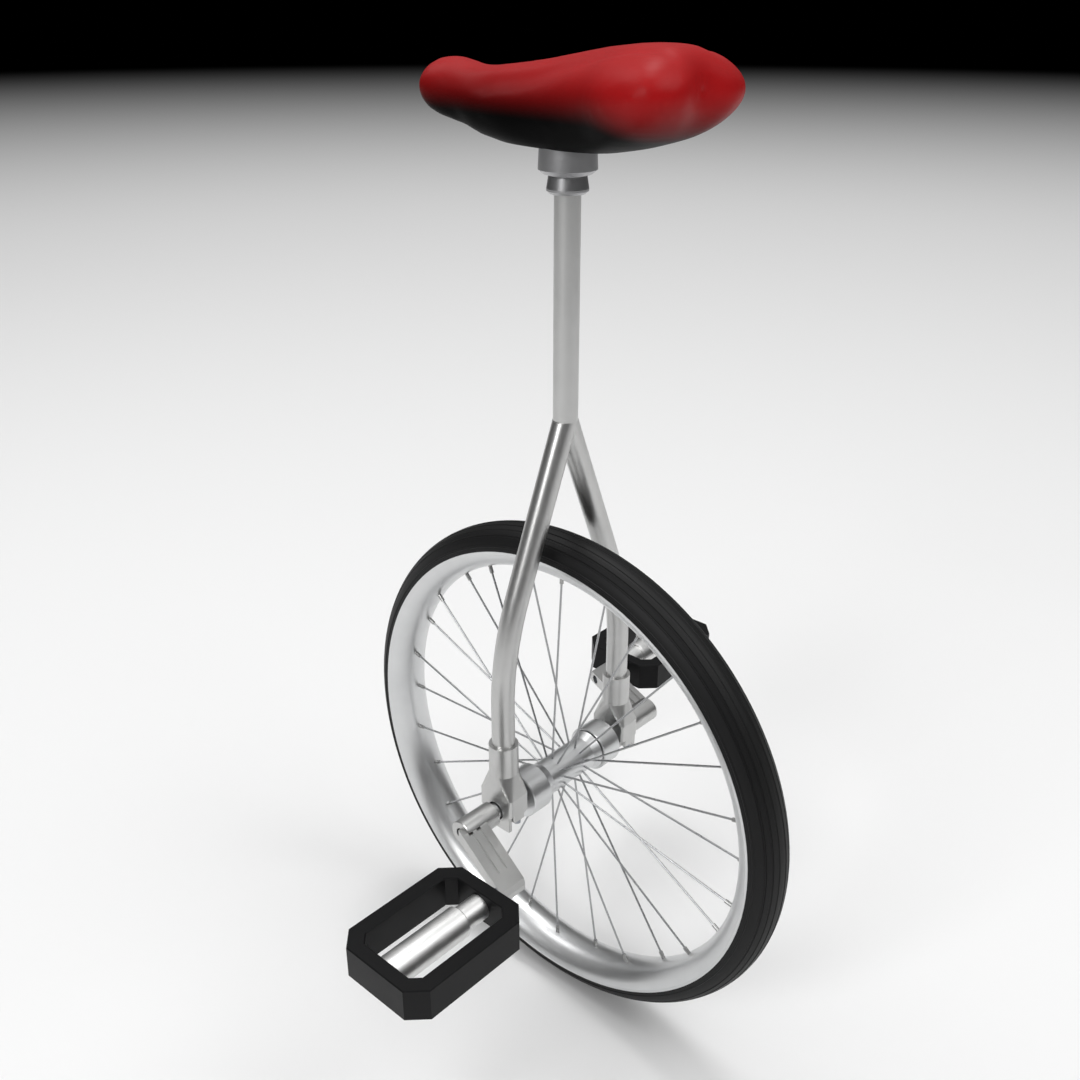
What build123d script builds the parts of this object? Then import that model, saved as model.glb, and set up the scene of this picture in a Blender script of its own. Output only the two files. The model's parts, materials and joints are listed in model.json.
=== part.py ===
"""Unicycle with a 20 inch wheel, millimetres.

Row frame: origin where the tyre touches the ground, +X towards the saddle's nose,
+Y to the rider's left, +Z up.
"""
import os
from math import cos, radians, sin, tan

from build123d import *

os.makedirs("parts", exist_ok=True)

# ---- driving dimensions -------------------------------------------------------------
wheel_radius = 250.0
tyre_half_width = 24.0
rim_edge_radius = 228.5          # top of the rim's side walls
rim_apex_radius = 209.0          # innermost line of the rounded rim
rim_wall = 2.0
rim_bed_radius = 222.5           # where the tyre's beads sit

spokes_per_side = 14
spoke_radius = 1.0
spoke_rim_offset = 3.4           # rim holes stagger this far from the middle plane
spoke_axis_offset = 15.3         # where a spoke's line would meet the axle
spoke_hub_radius = 11.5          # spokes are screwed this deep into the hub
spoke_rest_angle = 0.2
nipple_radius = 1.9
nipple_inner_radius = 201.0      # nipples reach this far in from the rim
valve_angle = -57.6

axle_radius = 6.0
axle_square = 10.0
axle_square_start = 98.0
axle_end = 119.0
hub_barrel_radius = 16.5
hub_flare_start = 29.0
hub_flare_radius = 20.0
hub_flare_end = 37.5
hub_spigot_radius = 14.0
hub_spigot_end = 50.0
hub_cover_radius = 22.2
hub_cover_start = 38.5
hub_cover_end = 62.0

bearing_offset = 80.5            # middle of each wheel bearing, from the middle plane
bearing_width = 6.0
bearing_outer_radius = 12.0
bearing_pitch_radius = 9.0
ball_radius = 1.6
ball_count = 11
running_gap = 0.05

housing_half_width = 19.5
housing_half_depth = 12.0
housing_shoulder = 18.0          # straight sides above the axle
sleeve_base = 39.0               # the flare ends this far above the axle
sleeve_top = 69.3
sleeve_radius = 13.5
cap_radius = 16.5
cap_plate = 4.0
cap_plate_drop = 16.5
cap_ear = 7.0
cap_screw_offset = 15.8
cap_screw_radius = 2.0

leg_radius = 10.5
tube_wall = 1.8
crown_height = 607.0
leg_splay = 22.3                 # degrees from upright, below the crown
leg_bend_radius = 273.0

seat_tube_radius = 10.7
seat_tube_bottom = 606.0
seat_tube_top = 804.0
post_radius = 8.7
post_bottom = 640.0
post_top = 818.0
clamp_bottom = 791.5
clamp_top = 804.7
clamp_azimuth = -48.0            # the clamp's slot faces the front right
neck_bottom = 805.0
neck_radius = 15.2
head_cone_bottom = 806.4
head_cone_radius = 19.5
head_bottom = 809.7
head_top = 826.3
head_radius = 23.3

crank_length = 77.0
crank_tip = 88.5
crank_half_height = 6.0
crank_boss_radius = 12.0
crank_boss_inner = 98.0
crank_boss_outer = 136.5
crank_recess_radius = 5.6        # well that hides the crank bolt
dust_cap_face = 135.5

pedal_centre = 240.0             # from the middle plane
pedal_half_long = 47.3           # fore and aft
pedal_half_wide = 62.7           # along the spindle
pedal_half_high = 14.8
pedal_corner = 14.6
pedal_open_long = 33.0
pedal_open_wide = 50.0
pedal_open_corner = 7.5
barrel_radius = 13.8
barrel_neck_radius = 11.0
barrel_step = 213.0
spindle_radius = 4.5

# ---- shared planes and axes ----------------------------------------------------------
axle_height = wheel_radius
axle_line = Axis((0, 0, axle_height), (0, 1, 0))
wheel_section = Plane(origin=(0, 0, axle_height), x_dir=(0, 1, 0), z_dir=(1, 0, 0))
post_section = Plane(origin=(0, 0, 0), x_dir=(1, 0, 0), z_dir=(0, -1, 0))


def across(offset, x=0.0):
    """Plane square to the axle, `offset` to the left; its +X is forward, +Y is down."""
    return Plane(origin=(x, offset, axle_height), x_dir=(1, 0, 0), z_dir=(0, 1, 0))


def save(part, name):
    part.label = name
    export_step(part, f"parts/{name}.step")


def save_pair(part, name):
    """A left piece and its mirror image on the right."""
    save(part, f"{name}_left")
    with BuildPart() as twin:
        mirror(part, about=Plane.XZ)
    save(twin.part, f"{name}_right")


def save_turned_pair(part, name):
    """A left piece and the same piece half a turn round on the right."""
    save(part, f"{name}_left")
    with BuildPart() as twin:
        add(part.rotate(Axis.Z, 180))
    save(twin.part, f"{name}_right")


def rod(radius, start, end, x=0.0):
    """Plain cylinder square to the middle plane, between two distances from it."""
    with BuildPart() as piece:
        with BuildSketch(across(start, x)):
            Circle(radius)
        extrude(amount=end - start)
    return piece.part


def ring(inner, outer, start, end):
    """Plain ring on the axle line, between two distances from the middle plane."""
    with BuildPart() as piece:
        with BuildSketch(across(start)):
            Circle(outer)
            Circle(inner, mode=Mode.SUBTRACT)
        extrude(amount=end - start)
    return piece.part


# ---- tyre, tube and rim -----------------------------------------------------------------
bead_half_width = tyre_half_width - rim_wall - 0.2
cavity_half_width = 17.5
tyre_crown_inside = wheel_radius - 4.5

with BuildPart() as tyre:
    with BuildSketch(wheel_section):
        with BuildLine():
            outer = ThreePointArc(
                (tyre_half_width, rim_edge_radius + 0.2), (0, wheel_radius),
                (-tyre_half_width, rim_edge_radius + 0.2),
            )
            inner = ThreePointArc(
                (-cavity_half_width, rim_bed_radius + 3), (0, tyre_crown_inside),
                (cavity_half_width, rim_bed_radius + 3),
            )
            Polyline(
                outer @ 1, (-bead_half_width, rim_edge_radius + 0.2),
                (-bead_half_width, rim_bed_radius), (-cavity_half_width, rim_bed_radius), inner @ 0,
            )
            Polyline(
                inner @ 1, (cavity_half_width, rim_bed_radius), (bead_half_width, rim_bed_radius),
                (bead_half_width, rim_edge_radius + 0.2), outer @ 0,
            )
        make_face()
    revolve(axis=axle_line)
save(tyre.part, "tyre")

tape_thickness = 0.6
tube_half_width = cavity_half_width - 0.5
tube_wall_thickness = 1.2
with BuildPart() as inner_tube:
    with BuildSketch(wheel_section):
        for inset, mode in ((0.0, Mode.ADD), (tube_wall_thickness, Mode.SUBTRACT)):
            base = rim_bed_radius + tape_thickness + inset
            side = tube_half_width - inset
            with BuildLine():
                belly = ThreePointArc(
                    (side, base + 3), (0, tyre_crown_inside - 0.5 - inset), (-side, base + 3)
                )
                Polyline(belly @ 1, (-side, base), (side, base), belly @ 0)
            make_face(mode=mode)
    revolve(axis=axle_line)
save(inner_tube.part, "inner_tube")

well_half_width = 8.0
chamber_top = rim_bed_radius - 4.2
with BuildPart() as rim:
    with BuildSketch(wheel_section):
        with BuildLine():
            belly = ThreePointArc(
                (tyre_half_width, rim_edge_radius - 2.5), (0, rim_apex_radius),
                (-tyre_half_width, rim_edge_radius - 2.5),
            )
            Polyline(
                belly @ 1, (-tyre_half_width, rim_edge_radius),
                (-tyre_half_width + rim_wall, rim_edge_radius),
                (-tyre_half_width + rim_wall, rim_bed_radius),
                (-well_half_width, rim_bed_radius), (-well_half_width + 2, rim_bed_radius - 2),
                (well_half_width - 2, rim_bed_radius - 2), (well_half_width, rim_bed_radius),
                (tyre_half_width - rim_wall, rim_bed_radius),
                (tyre_half_width - rim_wall, rim_edge_radius), (tyre_half_width, rim_edge_radius),
                belly @ 0,
            )
        make_face()
        with BuildLine():
            chamber = ThreePointArc(
                (cavity_half_width - 0.5, chamber_top), (0, rim_apex_radius + rim_wall),
                (-cavity_half_width + 0.5, chamber_top),
            )
            Line(chamber @ 1, chamber @ 0)
        make_face(mode=Mode.SUBTRACT)
    revolve(axis=axle_line)


# ---- spokes -------------------------------------------------------------------------------
spoke_pitch = 360 / spokes_per_side
sides = {"left": 1, "right": -1}


def polar(radius, angle, offset):
    """Point at a radius and angle round the axle; angle 0 is forward, 90 is up."""
    return Vector(
        radius * cos(radians(angle)), offset, axle_height + radius * sin(radians(angle))
    )


def spoke_ends(side, index):
    """Hub end and rim end of one radial spoke; the two sides alternate round the rim."""
    angle = spoke_rest_angle + (index + (0.5 if side > 0 else 0)) * spoke_pitch
    tip_radius = rim_apex_radius + 1.0
    lean = (spoke_axis_offset - spoke_rim_offset) / tip_radius
    hub_offset = spoke_axis_offset - lean * spoke_hub_radius
    return (
        polar(spoke_hub_radius, angle, side * hub_offset),
        polar(tip_radius, angle, side * spoke_rim_offset),
    )


for side_name, side in sides.items():
    with BuildPart() as spokes:
        for index in range(spokes_per_side):
            root, tip = spoke_ends(side, index)
            run = tip - root
            with BuildSketch(Plane(origin=root, z_dir=run)):
                Circle(spoke_radius)
            extrude(amount=run.length)
    save(spokes.part, f"spokes_{side_name}")

    with BuildPart() as nipples:
        for index in range(spokes_per_side):
            root, tip = spoke_ends(side, index)
            along = (tip - root).normalized()
            start = tip - along * (rim_apex_radius - nipple_inner_radius)
            with BuildSketch(Plane(origin=start, z_dir=along)):
                Circle(nipple_radius)
            extrude(amount=(tip - start).length + 2.6)
            with BuildSketch(Plane(origin=start, z_dir=along)):
                Circle(spoke_radius)
            extrude(amount=(tip - start).length, mode=Mode.SUBTRACT)
    save(nipples.part, f"spoke_nipples_{side_name}")

    with rim:
        for index in range(spokes_per_side):
            root, tip = spoke_ends(side, index)
            along = (tip - root).normalized()
            with BuildSketch(Plane(origin=tip - along * 6, z_dir=along)):
                Circle(nipple_radius)
            extrude(amount=9.0, mode=Mode.SUBTRACT)


# ---- valve -----------------------------------------------------------------------------------
valve_radius = 3.0
valve_tip_radius = 184.0
valve_axis = (cos(radians(valve_angle)), 0, sin(radians(valve_angle)))
valve_plane = Plane(
    origin=polar(valve_tip_radius, valve_angle, 0), x_dir=(0, 1, 0), z_dir=valve_axis
)
with rim:
    with BuildSketch(valve_plane):
        Circle(valve_radius + 0.2)
    extrude(amount=rim_bed_radius - valve_tip_radius + 2, mode=Mode.SUBTRACT)
save(rim.part, "rim")

with BuildPart() as rim_tape:
    with BuildSketch(wheel_section):
        with Locations((0, rim_bed_radius + tape_thickness / 2)):
            Rectangle(2 * cavity_half_width - 0.6, tape_thickness)
    revolve(axis=axle_line)
    with BuildSketch(valve_plane):
        Circle(valve_radius + 0.2)
    extrude(amount=rim_bed_radius - valve_tip_radius + 3, mode=Mode.SUBTRACT)
save(rim_tape.part, "rim_tape")

with BuildPart() as valve_stem:
    with BuildSketch(valve_plane):
        Circle(valve_radius)
    extrude(amount=rim_bed_radius + tape_thickness - valve_tip_radius - 0.05)
    with BuildSketch(valve_plane.offset(-4)):
        Circle(valve_radius - 0.8)
    extrude(amount=4)
save(valve_stem.part, "valve_stem")

with BuildPart() as valve_cap:
    with BuildSketch(valve_plane.offset(-6)):
        Circle(valve_radius + 0.6)
    extrude(amount=9)
    with BuildSketch(valve_plane):
        Circle(valve_radius)
    extrude(amount=9, mode=Mode.SUBTRACT)
    with BuildSketch(valve_plane.offset(-4)):
        Circle(valve_radius - 0.8)
    extrude(amount=5, mode=Mode.SUBTRACT)
    chamfer(valve_cap.faces().sort_by(Axis((0, 0, 0), valve_axis))[0].edges(), 0.8)
save(valve_cap.part, "valve_cap")


# ---- hub and axle ------------------------------------------------------------------------------
with BuildPart() as hub_shell:
    half_profile = (
        (hub_spigot_end, axle_radius), (hub_spigot_end, hub_spigot_radius),
        (hub_flare_end, hub_spigot_radius), (hub_flare_end, hub_flare_radius),
        (hub_flare_start, hub_barrel_radius),
    )
    with BuildSketch(wheel_section):
        with BuildLine():
            Polyline(
                *half_profile, *((-y, radius) for y, radius in reversed(half_profile)), close=True
            )
        make_face()
    revolve(axis=axle_line)
    for side in sides.values():
        for index in range(spokes_per_side):
            root, tip = spoke_ends(side, index)
            with BuildSketch(Plane(origin=root, z_dir=tip - root)):
                Circle(spoke_radius)
            extrude(amount=10, mode=Mode.SUBTRACT)
save(hub_shell.part, "hub_shell")

with BuildPart() as hub_cover:
    add(rod(hub_cover_radius, hub_cover_start, hub_cover_end))
    chamfer(hub_cover.edges().filter_by(GeomType.CIRCLE), 0.9)
    add(rod(hub_spigot_radius, hub_flare_end, hub_spigot_end), mode=Mode.SUBTRACT)
    add(rod(axle_radius, hub_spigot_end, hub_cover_end), mode=Mode.SUBTRACT)
save_pair(hub_cover.part, "hub_cover")

with BuildPart() as axle:
    with BuildSketch(across(-axle_square_start)):
        Circle(axle_radius)
    extrude(amount=2 * axle_square_start)
    for side in sides.values():
        with BuildSketch(
            Plane(origin=(0, side * axle_square_start, axle_height), x_dir=(1, 0, 0),
                  z_dir=(0, side, 0))
        ):
            Circle(axle_radius)
            Rectangle(axle_square, axle_square, mode=Mode.INTERSECT)
        extrude(amount=axle_end - axle_square_start)
        with BuildSketch(
            Plane(origin=(0, side * (axle_end - 18), axle_height), x_dir=(1, 0, 0),
                  z_dir=(0, side, 0))
        ):
            Circle(3.0)
        extrude(amount=18, mode=Mode.SUBTRACT)
save(axle.part, "axle")


# ---- wheel bearings -------------------------------------------------------------------------------
bearing_inner_side = bearing_offset - bearing_width / 2
bearing_outer_side = bearing_offset + bearing_width / 2
race_half_gap = 1.1


def race(inner, outer):
    """Bearing ring with the ball groove cut in it."""
    with BuildPart() as piece:
        with BuildSketch(wheel_section):
            with Locations((bearing_offset, (inner + outer) / 2)):
                Rectangle(bearing_width, outer - inner)
            with Locations((bearing_offset, bearing_pitch_radius)):
                Circle(ball_radius + running_gap, mode=Mode.SUBTRACT)
        revolve(axis=axle_line)
    return piece.part


save_pair(race(axle_radius, bearing_pitch_radius - race_half_gap), "bearing_inner_ring")
save_pair(race(bearing_pitch_radius + race_half_gap, bearing_outer_radius), "bearing_outer_ring")

with BuildPart() as balls:
    for index in range(ball_count):
        spot = polar(bearing_pitch_radius, index * 360 / ball_count, bearing_offset)
        with Locations(spot):
            Sphere(ball_radius)
save_pair(balls.part, "bearing_balls")

with BuildPart() as seals:
    for start in (bearing_inner_side + 0.1, bearing_outer_side - 0.6):
        with BuildSketch(across(start)):
            Circle(bearing_pitch_radius + race_half_gap)
            Circle(bearing_pitch_radius - race_half_gap + running_gap, mode=Mode.SUBTRACT)
        extrude(amount=0.5)
save_pair(seals.part, "bearing_seals")

spacer_radius = 8.2
save_pair(ring(axle_radius, spacer_radius - 0.4, hub_cover_end, bearing_inner_side), "hub_spacer")
save_pair(
    ring(axle_radius, spacer_radius - 0.4, bearing_outer_side, crank_boss_inner), "crank_spacer"
)


# ---- bearing housings and caps -----------------------------------------------------------------------
housing_inner = bearing_offset - housing_half_depth
shaft_clearance = spacer_radius + 1.0


bearing_seat = (
    rod(shaft_clearance, housing_inner, housing_inner + 2 * housing_half_depth),
    rod(bearing_outer_radius, bearing_inner_side, bearing_outer_side),
)


leg_foot = axle_height + sleeve_base
with BuildPart() as bearing_housing:
    with BuildSketch(Plane.XY.offset(axle_height)):
        with Locations((0, bearing_offset)):
            Rectangle(2 * housing_half_width, 2 * housing_half_depth)
    extrude(amount=housing_shoulder)
    fillet(bearing_housing.edges().filter_by(Axis.Z), 3.0)
    with BuildSketch(Plane.XY.offset(axle_height + housing_shoulder)):
        with Locations((0, bearing_offset)):
            RectangleRounded(2 * housing_half_width, 2 * housing_half_depth, 3.0)
    with BuildSketch(Plane.XY.offset(leg_foot)):
        with Locations((0, bearing_offset)):
            RectangleRounded(2 * sleeve_radius, 2 * sleeve_radius, sleeve_radius - 0.05)
    loft()
    with BuildSketch(Plane.XY.offset(leg_foot)):
        with Locations((0, bearing_offset)):
            Circle(sleeve_radius)
            Circle(leg_radius, mode=Mode.SUBTRACT)
    extrude(amount=sleeve_top - sleeve_base)
    add(bearing_seat, mode=Mode.SUBTRACT)
    with BuildSketch(Plane.XY.offset(axle_height)):
        with Locations((-cap_screw_offset, bearing_offset), (cap_screw_offset, bearing_offset)):
            Circle(cap_screw_radius)
    extrude(amount=14, mode=Mode.SUBTRACT)
save_pair(bearing_housing.part, "bearing_housing")

cap_ear_bottom = axle_height - cap_ear
screw_head_radius = 3.4
with BuildPart() as bearing_cap:
    with BuildSketch(across(housing_inner)):
        Circle(cap_radius)
        with Locations((0, cap_radius)):
            Rectangle(2 * cap_radius, 2 * cap_radius, mode=Mode.INTERSECT)
    extrude(amount=2 * housing_half_depth - cap_plate)
    with BuildSketch(across(housing_inner + 2 * housing_half_depth - cap_plate)):
        with Locations((0, cap_plate_drop / 2)):
            Rectangle(2 * cap_radius + 1, cap_plate_drop)
    extrude(amount=cap_plate)
    with BuildSketch(Plane.XY.offset(cap_ear_bottom)):
        with Locations((0, bearing_offset)):
            RectangleRounded(2 * housing_half_width, 14, 2)
    extrude(amount=cap_ear)
    add(bearing_seat, mode=Mode.SUBTRACT)
    with BuildSketch(Plane.XY.offset(cap_ear_bottom)):
        with Locations((-cap_screw_offset, bearing_offset), (cap_screw_offset, bearing_offset)):
            Circle(screw_head_radius + 0.3)
    extrude(amount=-15, mode=Mode.SUBTRACT)
    with BuildSketch(Plane.XY.offset(cap_ear_bottom)):
        with Locations((-cap_screw_offset, bearing_offset), (cap_screw_offset, bearing_offset)):
            Circle(cap_screw_radius)
    extrude(amount=cap_ear, mode=Mode.SUBTRACT)
save_pair(bearing_cap.part, "bearing_cap")

with BuildPart() as cap_screws:
    for x in (-cap_screw_offset, cap_screw_offset):
        with BuildSketch(Plane(origin=(x, bearing_offset, cap_ear_bottom - 4))):
            Circle(screw_head_radius)
        extrude(amount=4)
        with BuildSketch(Plane(origin=(x, bearing_offset, cap_ear_bottom))):
            Circle(cap_screw_radius)
        extrude(amount=cap_ear + 12)
        with BuildSketch(Plane(origin=(x, bearing_offset, cap_ear_bottom - 4))):
            RegularPolygon(1.7, 6)
        extrude(amount=2.4, mode=Mode.SUBTRACT)
save_pair(cap_screws.part, "cap_screws")


# ---- fork legs and seat tube ------------------------------------------------------------------------------
leg_section = Plane(origin=(0, 0, 0), x_dir=(0, 1, 0), z_dir=(1, 0, 0))
bend_reach = leg_bend_radius * (1 - cos(radians(leg_splay)))
straight_reach = bearing_offset - bend_reach
straight_drop = straight_reach / tan(radians(leg_splay))
with BuildPart() as fork_leg:
    with BuildLine(leg_section) as leg_path:
        splayed = Line((0, crown_height), (straight_reach, crown_height - straight_drop))
        bend = JernArc(splayed @ 1, splayed % 1, leg_bend_radius, -leg_splay)
        Line(bend @ 1, (bearing_offset, leg_foot))
    with BuildSketch(Plane(origin=leg_path.line @ 0, z_dir=leg_path.line % 0)):
        Circle(leg_radius)
        Circle(leg_radius - tube_wall, mode=Mode.SUBTRACT)
    sweep()
    split(bisect_by=Plane(origin=(0, 0, 0), z_dir=(0, 1, 0)), keep=Keep.TOP)
    split(bisect_by=Plane.XY.offset(seat_tube_bottom), keep=Keep.BOTTOM)
save_pair(fork_leg.part, "fork_leg")

clamp_plane = Plane.XY.rotated((0, 0, clamp_azimuth))
slot_width = 2.0
slot_depth = 28.0
with BuildPart() as seat_tube:
    with BuildSketch(Plane.XY.offset(seat_tube_bottom)):
        Circle(seat_tube_radius)
        Circle(post_radius + running_gap, mode=Mode.SUBTRACT)
    extrude(amount=seat_tube_top - seat_tube_bottom)
    with BuildSketch(clamp_plane.offset(seat_tube_top - slot_depth)):
        with Locations((seat_tube_radius, 0)):
            Rectangle(2 * tube_wall + 4, slot_width)
    extrude(amount=slot_depth, mode=Mode.SUBTRACT)
save(seat_tube.part, "seat_tube")


# ---- seat clamp --------------------------------------------------------------------------------------------
clamp_radius = 16.75
ear_reach = 27.0
ear_half_width = 6.5
ear_bolt_reach = 21.0
clamp_mid = (clamp_bottom + clamp_top) / 2
with BuildPart() as seat_clamp:
    with BuildSketch(post_section):
        with BuildLine():
            Polyline(
                (seat_tube_radius, clamp_bottom), (clamp_radius - 2.4, clamp_bottom),
                (clamp_radius, clamp_bottom + 2.2), (clamp_radius, clamp_bottom + 3.9),
                (neck_radius, clamp_top), (seat_tube_radius, clamp_top), close=True,
            )
        make_face()
    revolve(axis=Axis.Z)
    with BuildSketch(clamp_plane.offset(clamp_bottom + 1)):
        with Locations((ear_reach / 2, 0)):
            Rectangle(ear_reach, 2 * ear_half_width)
    extrude(amount=clamp_top - clamp_bottom - 2)
    with BuildSketch(Plane.XY.offset(clamp_bottom)):
        Circle(seat_tube_radius)
    extrude(amount=clamp_top - clamp_bottom, mode=Mode.SUBTRACT)
    with BuildSketch(clamp_plane.offset(clamp_bottom)):
        with Locations((ear_reach / 2, 0)):
            Rectangle(ear_reach, slot_width)
    extrude(amount=clamp_top - clamp_bottom, mode=Mode.SUBTRACT)
    bolt_plane = Plane(
        origin=clamp_plane.from_local_coords((ear_bolt_reach, -20, clamp_mid)),
        x_dir=(0, 0, 1), z_dir=clamp_plane.y_dir,
    )
    with BuildSketch(bolt_plane):
        Circle(2.5)
    extrude(amount=40, mode=Mode.SUBTRACT)
save(seat_clamp.part, "seat_clamp")

with BuildPart() as clamp_bolt:
    with BuildSketch(bolt_plane.offset(20 - ear_half_width - 4)):
        Circle(4.2)
    extrude(amount=4)
    with BuildSketch(bolt_plane.offset(20 - ear_half_width)):
        Circle(2.5)
    extrude(amount=2 * ear_half_width + 5)
    with BuildSketch(bolt_plane.offset(20 - ear_half_width - 4)):
        RegularPolygon(2.2, 6)
    extrude(amount=2.5, mode=Mode.SUBTRACT)
save(clamp_bolt.part, "seat_clamp_bolt")

with BuildPart() as clamp_nut:
    with BuildSketch(bolt_plane.offset(20 + ear_half_width)):
        RegularPolygon(4.6, 6)
        Circle(2.5, mode=Mode.SUBTRACT)
    extrude(amount=4)
save(clamp_nut.part, "seat_clamp_nut")


# ---- seat post and its head -------------------------------------------------------------------------------------
with BuildPart() as seat_post:
    with BuildSketch(Plane.XY.offset(post_bottom)):
        Circle(post_radius)
        Circle(post_radius - 1.6, mode=Mode.SUBTRACT)
    extrude(amount=post_top - post_bottom)
save(seat_post.part, "seat_post")

saddle_bolt_circle = 16.0
saddle_bolt_radius = 2.0
with BuildPart() as post_head:
    with BuildSketch(post_section):
        with BuildLine():
            Polyline(
                (0, neck_bottom), (neck_radius, neck_bottom), (neck_radius, head_cone_bottom),
                (head_cone_radius, head_cone_bottom), (head_radius, head_bottom),
                (head_radius - 0.8, head_top), (0, head_top), close=True,
            )
        make_face()
    revolve(axis=Axis.Z)
    with BuildSketch(Plane.XY.offset(neck_bottom)):
        Circle(post_radius)
    extrude(amount=post_top - neck_bottom, mode=Mode.SUBTRACT)
    with BuildSketch(Plane.XY.offset(head_top)):
        with PolarLocations(saddle_bolt_circle, 4, start_angle=45):
            Circle(saddle_bolt_radius)
    extrude(amount=-12, mode=Mode.SUBTRACT)
save(post_head.part, "seat_post_head")


# ---- saddle ---------------------------------------------------------------------------------------------------------
# Sections from the tail to the nose: place, half width, underside and top.
saddle_sections = (
    (-142, 24, 856, 888), (-132, 42, 846, 896), (-112, 55, 836, 901), (-88, 58, 831, 902),
    (-45, 46, 825, 897), (0, 38, 822, 889), (45, 36, 822, 882), (84, 32, 829, 880),
    (102, 31, 837, 882), (128, 32, 840, 886), (142, 26, 846, 883), (149, 15, 855, 874),
)
cover_thickness = 2.0
base_clearance = 2.4
base_top = 838.0


def saddle_body(inset):
    """Closed saddle form, drawn in all round by `inset`."""
    with BuildPart() as body:
        for x, half_width, underside, top in saddle_sections:
            end = inset if x in (saddle_sections[0][0], saddle_sections[-1][0]) else 0
            x_drawn = x - end if x > 0 else x + end
            half_height = (top - underside) / 2 - inset
            with BuildSketch(
                Plane(origin=(x_drawn, 0, (top + underside) / 2), x_dir=(0, 1, 0), z_dir=(1, 0, 0))
            ):
                RectangleRounded(
                    2 * (half_width - inset), 2 * half_height,
                    min(half_width - inset, half_height) * 0.8,
                )
        loft(ruled=False)
    return body.part


saddle_outside = saddle_body(0)
saddle_inside = saddle_body(cover_thickness)
base_outside = saddle_body(base_clearance)
base_cut = Plane.XY.offset(base_top)

with BuildPart() as saddle_base:
    add(base_outside)
    split(bisect_by=base_cut, keep=Keep.BOTTOM)
    with BuildSketch(Plane.XY.offset(head_top)):
        Circle(head_radius + 0.7)
    extrude(amount=-20, mode=Mode.SUBTRACT)
    with BuildSketch(Plane.XY.offset(head_top)):
        with PolarLocations(saddle_bolt_circle, 4, start_angle=45):
            Circle(saddle_bolt_radius)
    extrude(amount=20, mode=Mode.SUBTRACT)
    with BuildSketch(base_cut):
        with PolarLocations(saddle_bolt_circle, 4, start_angle=45):
            Circle(4.0)
    extrude(amount=-5, mode=Mode.SUBTRACT)
save(saddle_base.part, "saddle_base")

with BuildPart() as saddle_foam:
    add(saddle_inside)
    split(bisect_by=base_cut, keep=Keep.TOP)
save(saddle_foam.part, "saddle_foam")

with BuildPart() as saddle_cover:
    add(saddle_outside)
    add(saddle_inside, mode=Mode.SUBTRACT)
    with BuildSketch(Plane.XY.offset(head_top + 2)):
        Circle(head_radius + 0.7)
    extrude(amount=-20, mode=Mode.SUBTRACT)
save(saddle_cover.part, "saddle_cover")

with BuildPart() as saddle_bolts:
    with BuildSketch(Plane.XY.offset(head_top - 11)):
        with PolarLocations(saddle_bolt_circle, 4, start_angle=45):
            Circle(saddle_bolt_radius)
    extrude(amount=base_top - 5 - head_top + 11)
    with BuildSketch(base_cut.offset(-5)):
        with PolarLocations(saddle_bolt_circle, 4, start_angle=45):
            Circle(3.6)
    extrude(amount=4)
save(saddle_bolts.part, "saddle_bolts")


# ---- cranks (the left one points to the rear) ---------------------------------------------------------------------------
arm_bottom = axle_height - crank_half_height
inner_root = 110.0
inner_tip = 146.5
outer_root = 139.5
outer_tip = 174.0
groove_depth = 1.8


def arm_line(root, tip, x):
    """Distance from the middle plane of a crank edge, `x` ahead of the axle."""
    return root + (tip - root) * (-x) / crank_tip


with BuildPart() as crank_boss_form:
    add(rod(crank_boss_radius, crank_boss_inner, crank_boss_outer))
    chamfer(crank_boss_form.edges().filter_by(GeomType.CIRCLE), 0.8)
crank_boss = crank_boss_form.part

with BuildPart() as crank:
    with BuildSketch(Plane.XY.offset(arm_bottom)):
        with BuildLine():
            Polyline(
                (0, inner_root), (-crank_tip, inner_tip), (-crank_tip, outer_tip),
                (0, outer_root), close=True,
            )
        make_face()
    extrude(amount=2 * crank_half_height)
    tip_edges = crank.faces().sort_by(Axis.X)[0].edges().filter_by(Axis.Y)
    chamfer(tip_edges, 3.6)
    fillet(crank.edges().filter_by(Axis.Z).sort_by(Axis.X)[0:2], 2.5)
    add(crank_boss)
    for level, depth in ((crank_half_height, -groove_depth), (-crank_half_height, groove_depth)):
        with BuildSketch(Plane.XY.offset(axle_height + level)):
            for near, far in ((0.30, 0.46), (0.62, 0.78)):
                with BuildLine():
                    Polyline(
                        *[
                            (x, arm_line(inner_root, inner_tip, x) * (1 - share)
                             + arm_line(outer_root, outer_tip, x) * share)
                            for x, share in ((-8, near), (-66, near), (-66, far), (-8, far))
                        ],
                        close=True,
                    )
                make_face()
        extrude(amount=depth, mode=Mode.SUBTRACT)
    with BuildSketch(across(crank_boss_inner)):
        Circle(axle_radius)
        Rectangle(axle_square, axle_square, mode=Mode.INTERSECT)
    extrude(amount=axle_end - crank_boss_inner, mode=Mode.SUBTRACT)
    add(rod(crank_recess_radius, axle_end, crank_boss_outer), mode=Mode.SUBTRACT)
    add(rod(spindle_radius, inner_tip - 8, outer_tip, -crank_length),
        mode=Mode.SUBTRACT)
save_turned_pair(crank.part, "crank")

with BuildPart() as crank_bolt:
    with BuildSketch(across(axle_end - 17)):
        Circle(3.0)
    extrude(amount=17)
    with BuildSketch(across(axle_end)):
        Circle(5.2)
    extrude(amount=5)
    with BuildSketch(across(axle_end + 2)):
        RegularPolygon(2.6, 6)
    extrude(amount=3, mode=Mode.SUBTRACT)
save_pair(crank_bolt.part, "crank_bolt")

save_pair(rod(crank_recess_radius, dust_cap_face - 2, dust_cap_face), "crank_dust_cap")


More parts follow.
